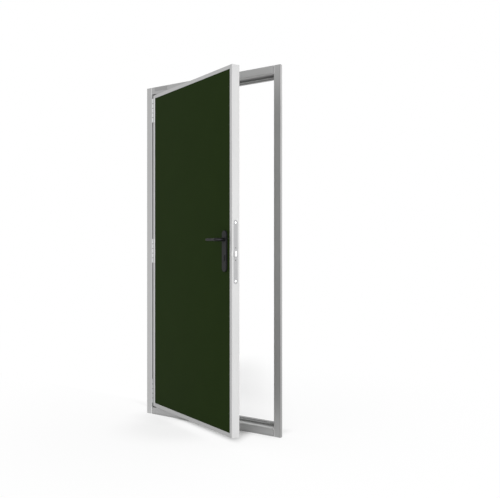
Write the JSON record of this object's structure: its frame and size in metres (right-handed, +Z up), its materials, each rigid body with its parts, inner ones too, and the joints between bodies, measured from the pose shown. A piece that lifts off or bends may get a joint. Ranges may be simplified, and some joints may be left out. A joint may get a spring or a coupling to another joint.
{
  "type": "exterior door with frame",
  "caption": "Single outward-opening exterior door: a metal-edged insulated leaf on butt hinges in a four-sided frame with flange and stop, lever handles, latch lock and key cylinder.",
  "frame": {"origin": "middle of the underside of the sill's front flange, where the frame stands", "axes": "X across the door with the hinges on the -X side, +Y into the building, +Z up"},
  "size_m": [1.02, 0.4223, 2.1],
  "materials": {
    "frame_aluminium": "satin anodised",
    "gasket_rubber": "matt",
    "fixings": "bright",
    "strike": "satin",
    "backing_steel": "plain zinc",
    "hinge_steel": "satin",
    "pin_steel": "bright",
    "leaf_aluminium": "satin anodised",
    "panel_green": "smooth coat",
    "core_foam": "plain foam",
    "forend_steel": "brushed",
    "bolt_bright": "bright",
    "handle_black": "satin black",
    "cylinder_dark": "satin black",
    "follower_brass": "plain"
  },
  "bodies": {
    "frame": {"hinge_jamb": "frame_aluminium", "lock_jamb": "frame_aluminium", "head": "frame_aluminium", "sill": "frame_aluminium", "jamb_gaskets": "gasket_rubber", "head_gasket": "gasket_rubber", "sill_gasket": "gasket_rubber", "corner_screws": "fixings", "strike_plate": "strike", "strike_screws": "fixings", "jamb_backings": "backing_steel", "bottom_frame_flap": "hinge_steel", "middle_frame_flap": "hinge_steel", "top_frame_flap": "hinge_steel", "bottom_pin": "pin_steel", "middle_pin": "pin_steel", "top_pin": "pin_steel", "frame_flap_screws": "fixings"},
    "handle": {"outer_lever": "handle_black", "inner_lever": "handle_black", "spindle": "pin_steel", "follower": "follower_brass"},
    "latch": {"latch_bolt": "bolt_bright"},
    "outer_key": {"outer_plug": "cylinder_dark", "cam": "backing_steel"},
    "inner_key": {"inner_plug": "cylinder_dark"},
    "leaf": {"hinge_stile": "leaf_aluminium", "lock_stile": "leaf_aluminium", "top_rail": "leaf_aluminium", "bottom_rail": "leaf_aluminium", "outer_skin": "panel_green", "panel_core": "core_foam", "inner_skin": "panel_green", "corner_cleats": "backing_steel", "stile_backings": "backing_steel", "bottom_leaf_flap": "hinge_steel", "middle_leaf_flap": "hinge_steel", "top_leaf_flap": "hinge_steel", "leaf_flap_screws": "fixings", "forend": "forend_steel", "forend_lugs": "backing_steel", "forend_screws": "fixings", "lock_case": "backing_steel", "lock_cover": "backing_steel", "cylinder_body": "cylinder_dark", "cylinder_screw": "fixings", "outer_backplate": "handle_black", "inner_backplate": "handle_black", "plate_bolts": "fixings"}
  },
  "joints": [
    {"name": "leaf_swing", "type": "hinge", "parent": "frame", "child": "leaf", "pos_m": [-0.45925, -0.0112, 1.05], "axis": [0, 0, -1], "range_deg": [-20, 150]},
    {"name": "handle_turn", "type": "hinge", "parent": "leaf", "child": "handle", "pos_m": [0.34992, -0.27837, 1.112], "axis": [-0.342, -0.9397, 0], "range_deg": [0, 42], "stiffness_Nm_per_rad": 1.6, "springref_deg": -20.05},
    {"name": "latch_slide", "type": "slide", "parent": "leaf", "child": "latch", "axis": [-0.9397, 0.342, 0], "range_m": [0, 0.0125]},
    {"name": "outer_key_turn", "type": "hinge", "parent": "leaf", "child": "outer_key", "pos_m": [0.34992, -0.27837, 1.02], "axis": [-0.342, -0.9397, 0], "continuous": true},
    {"name": "inner_key_turn", "type": "hinge", "parent": "leaf", "child": "inner_key", "pos_m": [0.34992, -0.27837, 1.02], "axis": [-0.342, -0.9397, 0], "continuous": true}
  ],
  "couplings": [
    {"joint": "latch_slide", "follows": "handle_turn", "m_per_rad": 0.017052}
  ]
}
